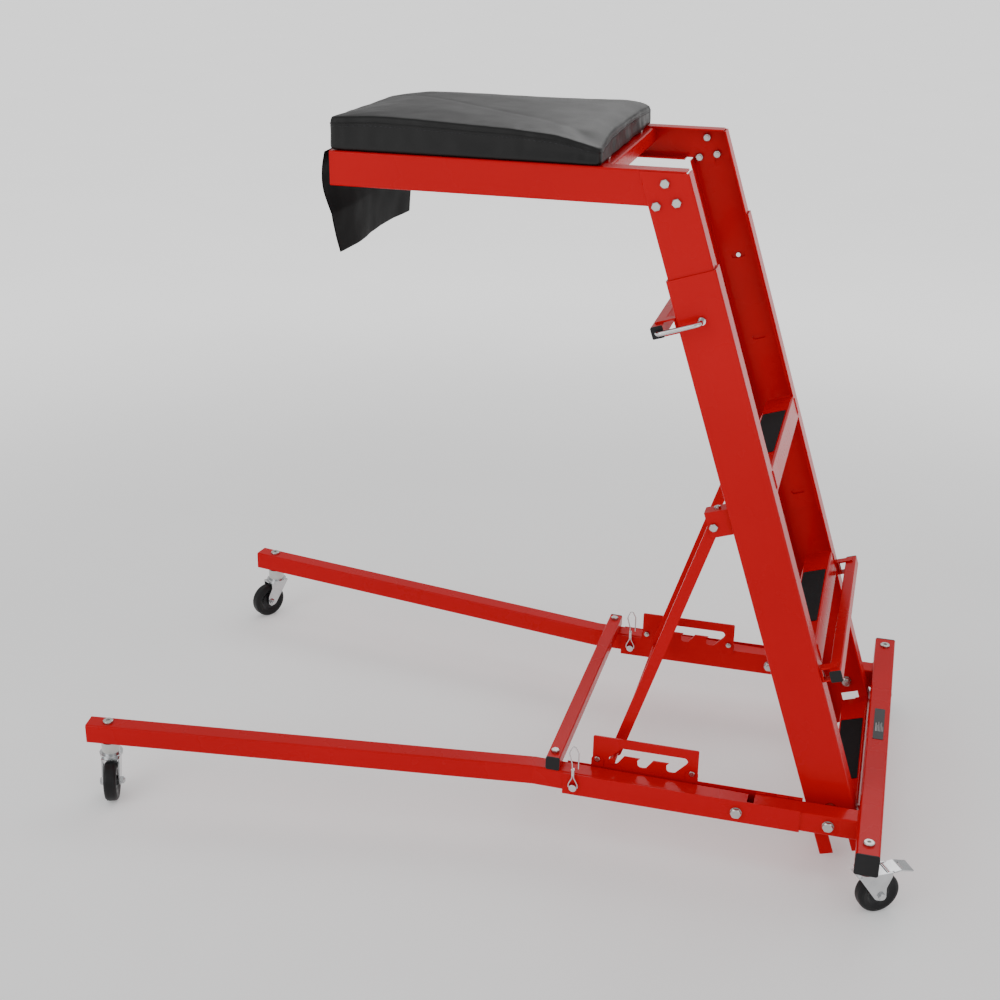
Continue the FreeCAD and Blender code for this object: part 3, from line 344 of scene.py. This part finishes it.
runs = []
for s in (-1, 1):
    yy = s * 190.3
    for st in (-22.0, 300.0, 621.0):
        runs.append((L(39.6, yy, st - 4), L(39.6, yy, st - 40)))
        runs.append((L(36.0, yy, st + 0.2), L(16.0, yy, st + 0.2)))
        runs.append((L(40.6, yy, st - 5), L(40.6, yy, st - 36)))
    for nn, sc in ((43.0, 253.0), (-43.0, 896.0)):
        for e in (-8, 8):
            runs.append((L(nn, s * 217.5 + e, sc - 12), L(nn, s * 217.5 + e, sc + 12)))
    for e in (-13.5, 13.5):
        runs.append((L(-41.0, s * 205 + e, 532), L(-41.0, s * 205 + e, 573)))
bead("ladder_weld_beads", "ladder", runs, 0.0018)

runs = []
for s in (-1, 1):
    for x0 in (-962.0 + 2, -745.0 + 2, -508.0 - 2):
        runs.append((P(x0, s * 222.3, 1163.5), P(x0, s * 222.3, 1184.5)))
bead("deck_weld_beads", "deck", runs, 0.0016)

# ---------------------------------------- plain marking on the rating plate
lab_mat = plastic("label_print", (0.45, 0.45, 0.45), 0.4, 0.5, 1500)
bars = []
for i, (ln, wd) in enumerate(((30, 1.6), (22, 1.0), (34, 1.0), (28, 1.0), (33, 1.0), (18, 1.0))):
    bars.append((-6.0 + i * 2.6, 8.0, ln, wd))
verts, faces = [], []
for dx, y0, ln, wd in bars:
    z = 136.42
    b0 = len(verts)
    for (ax, ay) in ((dx, y0), (dx + wd, y0), (dx + wd, y0 + ln), (dx, y0 + ln)):
        verts.append(P(2.0 + ax, ay, z - 0.1))
    for (ax, ay) in ((dx, y0), (dx + wd, y0), (dx + wd, y0 + ln), (dx, y0 + ln)):
        verts.append(P(2.0 + ax, ay, z))
    faces += [(b0 + 4, b0 + 5, b0 + 6, b0 + 7), (b0 + 3, b0 + 2, b0 + 1, b0), (b0, b0 + 1, b0 + 5, b0 + 4), (b0 + 1, b0 + 2, b0 + 6, b0 + 5), (b0 + 2, b0 + 3, b0 + 7, b0 + 6), (b0 + 3, b0, b0 + 4, b0 + 7)]
lab = mesh_object("rating_plate_print", verts, faces, lab_mat, False)
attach(lab, "base")

# ----------------------------------------------------------------- cushion
X0, X1, HY = -965.0, -517.0, 220.0
YC = -4.0                              # the cover sits a little toward the near side
ZB, ZT = 1190.9, 1238.0


def swell(ux, uy):
    """How far the top stands above its flat blank, in metres: it slumps at
    the near rear corner and along the far edge, and is fullest at the front."""
    near = np.interp(ux, (-1, -0.69, -0.32, 0.05, 0.41, 1), (5, 10.5, 8.5, 4.5, 2, 0))
    far = np.interp(ux, (-1, -0.6, 0, 1), (-17, -13, -10, -6))
    w = np.interp(uy, (-1, 0.3, 0.48, 0.75, 1.0), (0, 0.2, 0.32, 0.64, 1.0))
    corner = np.interp(ux, (0.36, 0.67, 0.87, 1.0), (0, -4.5, -15, -21)) * math.exp(-((uy + 1) / 0.42) ** 2)
    roll = -9.0 * max(0.0, (ux - 0.80) / 0.20) ** 2 * (1 - math.exp(-((uy + 1) / 0.42) ** 2))
    return float(near * (1 - w) + far * w + corner + roll) / 1000


def cushion_blank():
    """Rounded slab, bevelled along its upright corners and top edges."""
    me = bpy.data.meshes.new("cushion_cover")
    bm = bmesh.new()
    bmesh.ops.create_cube(bm, size=1.0)
    c = P((X0 + X1) / 2, YC, (ZB + ZT) / 2)
    for v in bm.verts:
        v.co = Vector((c.x + v.co.x * (X1 - X0) / 1000, c.y + v.co.y * 2 * HY / 1000, c.z + v.co.z * (ZT - ZB) / 1000))
    vert_edges = [e for e in bm.edges if abs(e.verts[0].co.z - e.verts[1].co.z) > 0.01]
    bmesh.ops.bevel(bm, geom=vert_edges, offset=0.012, segments=5, profile=0.5, affect="EDGES")
    top = [e for e in bm.edges if min(v.co.z for v in e.verts) > P(0, 0, ZT).z - 1e-5]
    bmesh.ops.bevel(bm, geom=top, offset=0.0045, segments=3, profile=0.5, affect="EDGES")
    bm.to_mesh(me)
    bm.free()
    ob = bpy.data.objects.new("cushion_cover", me)
    bpy.context.scene.collection.objects.link(ob)
    return ob


def apply_modifiers(ob):
    dg = bpy.context.evaluated_depsgraph_get()
    me = bpy.data.meshes.new_from_object(ob.evaluated_get(dg), preserve_all_data_layers=True, depsgraph=dg)
    ob.modifiers.clear()
    old = ob.data
    ob.data = me
    bpy.data.meshes.remove(old)


cush = cushion_blank()
rm = cush.modifiers.new("remesh", "REMESH")
rm.mode = "VOXEL"
rm.voxel_size = 0.0055
apply_modifiers(cush)
rest = np.array([v.co for v in cush.data.vertices])
zb, zt = ZB / 1000, ZT / 1000
vg = cush.vertex_groups.new(name="pin")
for v in cush.data.vertices:
    # held along the lower rim and underneath, where the cover is stapled
    if v.co.z < zb + 0.004:
        vg.add([v.index], 1.0, "REPLACE")
cl = cush.modifiers.new("cloth", "CLOTH")
cs = cl.settings
cs.quality = 6
cs.mass = 0.35
cs.tension_stiffness = cs.compression_stiffness = 18
cs.shear_stiffness = 8
cs.bending_stiffness = 0.6
cs.vertex_group_mass = "pin"
cs.use_pressure = True
cs.uniform_pressure_force = 4.0
cs.effector_weights.gravity = 0.0
cl.collision_settings.use_self_collision = False
cl.point_cache.frame_start, cl.point_cache.frame_end = 1, 20
sc = bpy.context.scene
for f in range(1, 21):
    sc.frame_set(f)
apply_modifiers(cush)
sc.frame_set(1)
now = np.array([v.co for v in cush.data.vertices])
disp = now - rest
mag = np.linalg.norm(disp, axis=1)
top_lift = float(np.percentile(disp[:, 2], 99.5)) if len(disp) else 0.0
want = 0.0060
gain = min(1.0, want / top_lift) if top_lift > 1e-6 else 0.0
disp = disp * gain
# soft limit sideways so that the sides stay nearly flat
for k in (0, 1):
    disp[:, k] = np.clip(disp[:, k], -0.0045, 0.0045)
co = rest + disp
cx, cy = P((X0 + X1) / 2, 0, 0).x, P(0, YC, 0).y
hx, hy = (X1 - X0) / 2000, HY / 1000
for i in range(len(co)):
    x, y, z = co[i]
    ux, uy = (x - cx) / hx, (y - cy) / hy
    f = (z - zb) / (zt - zb)
    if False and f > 0.75:
        z += 0.0060 * max(0.0, 1 - abs(ux) ** 2.6) * max(0.0, 1 - abs(uy) ** 2.6)
    edge = max(abs(ux), abs(uy))
    t = min(max(f, 0.0), 1.0)
    z += swell(max(-1, min(1, ux)), max(-1, min(1, uy))) * t
    # folded pleat at the near rear corner, lying over the side
    if uy < -0.93 and ux > 0.45:
        q = (1 - ux) / 0.55
        line = 0.86 - 0.34 * q
        dd = (f - line) / 0.10
        y -= 0.0042 * math.exp(-dd * dd * (1.0 if dd < 0 else 0.3)) * (1 - q) ** 0.6
    # broad slack folds toward the rear edge
    if ux > 0.45:
        k = (ux - 0.45) / 0.55
        z += (0.0022 * k * noise.noise(Vector((x * 17 + 5, y * 8, 2.2)))) * min(max(f, 0.0), 1.0)
        x += 0.0034 * k * k * noise.noise(Vector((3.3, y * 20, z * 22)))
        z += 0.0030 * k * k * noise.noise(Vector((1.3, y * 22, 0.4))) * t
    side = 1.0 if edge > 0.955 else 0.0
    # sides pull in between the corners
    if edge > 0.90:
        pull = 0.0028 * math.sin(math.pi * min(max(f, 0), 1))
        if abs(ux) >= abs(uy):
            x -= math.copysign(1, ux) * pull * (1 - abs(uy) ** 4)
        else:
            y -= math.copysign(1, uy) * pull * (1 - abs(ux) ** 4)
    # gathered pleats close to each corner, fading upwards from the lower edge
    if side:
        corner_d = math.hypot(abs(ux) - 1, abs(uy) - 1)
        g = math.exp(-((corner_d / 0.17) ** 2))
        along = (uy * hy if abs(ux) >= abs(uy) else ux * hx)
        ripple = math.sin(along * 2 * math.pi / 0.017 + 1.3 * math.copysign(1, ux)) * 0.0011 * g
        wr = noise.noise(Vector((x * 55, y * 55, z * 26 + 4))) * 0.0016
        rear = 1.0 + 1.1 * max(0.0, ux - 0.9) * 10 * 0.6
        amp = (ripple + wr * rear) * (0.35 + 0.65 * math.sin(math.pi * min(max(f, 0.0), 1)))
        if abs(ux) >= abs(uy):
            x += math.copysign(1, ux) * amp
        else:
            y += math.copysign(1, uy) * amp
    if f > 0.80:
        # slack folds on the top panel: long shallow creases
        z += 0.0011 * noise.noise(Vector((x * 9 + 2, y * 14, 0.3))) + 0.0005 * noise.noise(Vector((x * 38, y * 30, 1.7)))
        d = abs((x - cx) * 0.50 + (y - cy) * 0.86 + 0.055)
        z -= 0.0012 * math.exp(-((d / 0.006) ** 2)) * max(0.0, 1 - (edge / 0.92) ** 6)
    co[i] = (x, y, z)
cush.data.vertices.foreach_set("co", co.ravel())
cush.data.update()
ss = cush.modifiers.new("smooth", "CORRECTIVE_SMOOTH") if False else cush.modifiers.new("smooth", "SMOOTH")
ss.factor, ss.iterations = 0.5, 2
apply_modifiers(cush)
cush.data.materials.clear()
cush.data.materials.append(MATS["vinyl"])
cush.data.polygons.foreach_set("use_smooth", [True] * len(cush.data.polygons))
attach(cush, "deck")
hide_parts("pad_cushion", "pad_board")

bm = bmesh.new()
bm.from_mesh(cush.data)
bvh = BVHTree.FromBMesh(bm)
bm.free()


def rim(part, inset=0.0, steps=420):
    """Points round the cushion's side at a part of its height, on the surface."""
    pts = []
    for i in range(steps):
        a = 2 * math.pi * i / steps
        d = Vector((math.cos(a) * hx * 1.5, math.sin(a) * hy * 1.5, 0))
        m = max(abs(math.cos(a)), abs(math.sin(a)))
        top_z = zt + swell(math.cos(a) / m, math.sin(a) / m)
        d = Vector((math.cos(a) / m * hx * 1.5, math.sin(a) / m * hy * 1.5, 0))
        origin = Vector((cx, cy, zb + part * (top_z - zb))) + d
        hit = bvh.ray_cast(origin, -d.normalized())
        if hit[0] is not None:
            pts.append(hit[0] + hit[1].normalized() * inset)
    return pts


# sewn seam below the top edge: a rolled welt and a row of stitches under it
seam_pts = rim(0.80, 0.0002)
v, f = tube(seam_pts, 0.0009, 8, True)
welt = mesh_object("cushion_welt", v, f, MATS["vinyl"])
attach(welt, "deck")
stitch_mat = plastic("stitch_thread", (0.030, 0.030, 0.034), 0.5, 0.7, 2500)
st_pts = rim(0.72, 0.0002, 900)
verts, faces = [], []
i = 0
while i + 2 < len(st_pts):
    vv, ff = tube(st_pts[i:i + 3], 0.00045, 5)
    b0 = len(verts)
    verts += vv
    faces += [tuple(q + b0 for q in k) for k in ff]
    i += 4
st = mesh_object("cushion_stitches", verts, faces, stitch_mat)
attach(st, "deck")

# -------------------------------------------------------------------- flap
# vinyl sheet hung from the front of the board, cut 452 x 176 mm
W, H0, H1 = 0.452, 0.164, 0.189        # shorter at the near edge than at the far one
NU, NV = 150, 58
top_x, top_z = -967.0, 1190.0
rows = []
for r in range(NV + 1):
    v = r / NV
    xs = []
    for c in range(NU + 1):
        u = c / NU
        near = -0.0085 * math.sin(math.pi * min(v / 0.62, 1.0)) + 0.0175 * v * v
        far = -0.0165 * v ** 1.2
        e = u * u * (3 - 2 * u)
        a = near * (1 - e) + far * e
        a += 0.0030 * v ** 1.3 * math.sin(2 * math.pi * (1.15 * u + 0.10))
        a += 0.0007 * v * math.sin(2 * math.pi * (3.1 * u + 0.6 - 0.25 * v))
        a += 0.0003 * math.sin(2 * math.pi * (7.0 * u + 0.2 + 0.3 * v)) * (1 - v) ** 2
        a += 0.0010 * noise.noise(Vector((u * 9, v * 5, 0.7)))
        xs.append(a)
    ds = W / NU
    ys = [0.0]
    for c in range(NU):
        dx = xs[c + 1] - xs[c]
        ys.append(ys[-1] + math.sqrt(max(ds * ds - dx * dx, ds * ds * 0.2)))
    width = ys[-1]
    shift = -0.004 * (1 - v) - 0.002
    rows.append([(xs[c], ys[c] - width / 2 + shift) for c in range(NU + 1)])
verts, faces = [], []
zrow = [0.0]
for r in range(NV):
    zrow.append((r + 1) / NV)
base = P(top_x, 0, top_z)
for side in (0, 1):
    for r in range(NV + 1):
        for c in range(NU + 1):
            ax, ay = rows[r][c]
            drop = (H0 + (H1 - H0) * c / NU) * zrow[r] * 0.994
            verts.append((base.x + ax - (0.0013 if side else 0.0), base.y + ay, base.z - drop))
n1 = (NV + 1) * (NU + 1)
idx = lambda s, r, c: s * n1 + r * (NU + 1) + c
for r in range(NV):
    for c in range(NU):
        faces.append((idx(0, r, c), idx(0, r, c + 1), idx(0, r + 1, c + 1), idx(0, r + 1, c)))
        faces.append((idx(1, r, c), idx(1, r + 1, c), idx(1, r + 1, c + 1), idx(1, r, c + 1)))
for r in range(NV):
    faces.append((idx(0, r, 0), idx(0, r + 1, 0), idx(1, r + 1, 0), idx(1, r, 0)))
    faces.append((idx(0, r, NU), idx(1, r, NU), idx(1, r + 1, NU), idx(0, r + 1, NU)))
for c in range(NU):
    faces.append((idx(0, 0, c), idx(1, 0, c), idx(1, 0, c + 1), idx(0, 0, c + 1)))
    faces.append((idx(0, NV, c), idx(0, NV, c + 1), idx(1, NV, c + 1), idx(1, NV, c)))
flap = mesh_object("front_flap_sheet", verts, faces, vinyl("flap_vinyl_detail", 0.06, (0.55, 0.70)))
bm = bmesh.new()
bm.from_mesh(flap.data)
bmesh.ops.recalc_face_normals(bm, faces=bm.faces)
bm.to_mesh(flap.data)
bm.free()
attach(flap, "deck")
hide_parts("front_flap")

# hem stitches along the lower edge of the flap
verts, faces = [], []
r = NV - 3
for c in range(3, NU - 4, 3):
    pts = [flap.data.vertices[idx(1, r, c + k)].co - Vector((0.0003, 0, 0)) for k in (0, 1, 2)]
    vv, ff = tube(pts, 0.00045, 5)
    b0 = len(verts)
    verts += vv
    faces += [tuple(q + b0 for q in k) for k in ff]
hem = mesh_object("flap_hem_stitches", verts, faces, stitch_mat)
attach(hem, "deck")

# ------------------------------------------------------------ stage, light
fm, ft, fb, fco = material("floor_paint")
ft.links.new(ramp(ft, noise_tex(ft, fco, 2.0, 4), [(0.3, (0.80, 0.80, 0.80)), (0.7, (0.83, 0.83, 0.83))]), fb.inputs["Base Color"])
fb.inputs["Roughness"].default_value = 0.85
fb.inputs["Specular IOR Level"].default_value = 0.1
fb.inputs["Emission Color"].default_value = (1, 1, 1, 1)
# brighter away from the object, as a studio sweep
fc = ft.nodes.new("ShaderNodeTexCoord")
fs = ft.nodes.new("ShaderNodeVectorMath")
fs.operation = "DISTANCE"
ft.links.new(fc.outputs["Object"], fs.inputs[0])
fs.inputs[1].default_value = (0, -10, 0)
sweep = ft.nodes.new("ShaderNodeMapRange")
sweep.interpolation_type = "SMOOTHSTEP"
sweep.inputs["From Min"].default_value = 1.3
sweep.inputs["From Max"].default_value = 3.6
sweep.inputs["To Min"].default_value = 0.22
sweep.inputs["To Max"].default_value = 0.70
ft.links.new(fs.outputs["Value"], sweep.inputs["Value"])
ft.links.new(sweep.outputs["Result"], fb.inputs["Emission Strength"])
bpy.ops.mesh.primitive_plane_add(size=60, location=(0, 10, 0))
floor = bpy.context.object
floor.name = "studio_floor"
floor.data.materials.append(fm)

world = bpy.data.worlds.new("studio")
bpy.context.scene.world = world
world.use_nodes = True
wt = world.node_tree
bg = wt.nodes["Background"]
wc = wt.nodes.new("ShaderNodeTexCoord")
sep = wt.nodes.new("ShaderNodeSeparateXYZ")
wt.links.new(wc.outputs["Generated"], sep.inputs[0])


def clamp01(v):
    n = wt.nodes.new("ShaderNodeClamp")
    wt.links.new(v, n.inputs["Value"])
    return n.outputs[0]


overhead = clamp01(math_node(wt, "MULTIPLY", math_node(wt, "SUBTRACT", sep.outputs["Z"], 0.08), 1.9))
band = clamp01(math_node(wt, "SUBTRACT", 1.0, math_node(wt, "MULTIPLY", sep.outputs["Z"], 5.0)))
amount = math_node(wt, "ADD", math_node(wt, "MULTIPLY", overhead, 0.42), math_node(wt, "MULTIPLY", band, 0.45))
amount = math_node(wt, "ADD", amount, 0.42)
wt.links.new(amount, bg.inputs["Strength"])
bg.inputs["Color"].default_value = (1.0, 1.0, 1.0, 1)


def area(name, loc, target, size, power):
    ld = bpy.data.lights.new(name, "AREA")
    ld.shape = "RECTANGLE"
    ld.size, ld.size_y = size
    ld.energy = power
    ob = bpy.data.objects.new(name, ld)
    bpy.context.scene.collection.objects.link(ob)
    ob.location = loc
    ob.rotation_euler = (Vector(target) - Vector(loc)).to_track_quat("-Z", "Y").to_euler()
    return ob


area("key", (-2.4, -3.4, 2.6), (0, 0, 0.6), (2.6, 2.6), 38)
area("fill", (3.0, -3.0, 1.6), (0.2, 0, 0.6), (2.2, 2.6), 14)
area("rim", (0.6, 3.2, 3.2), (0, 0, 0.7), (3.0, 1.6), 30)
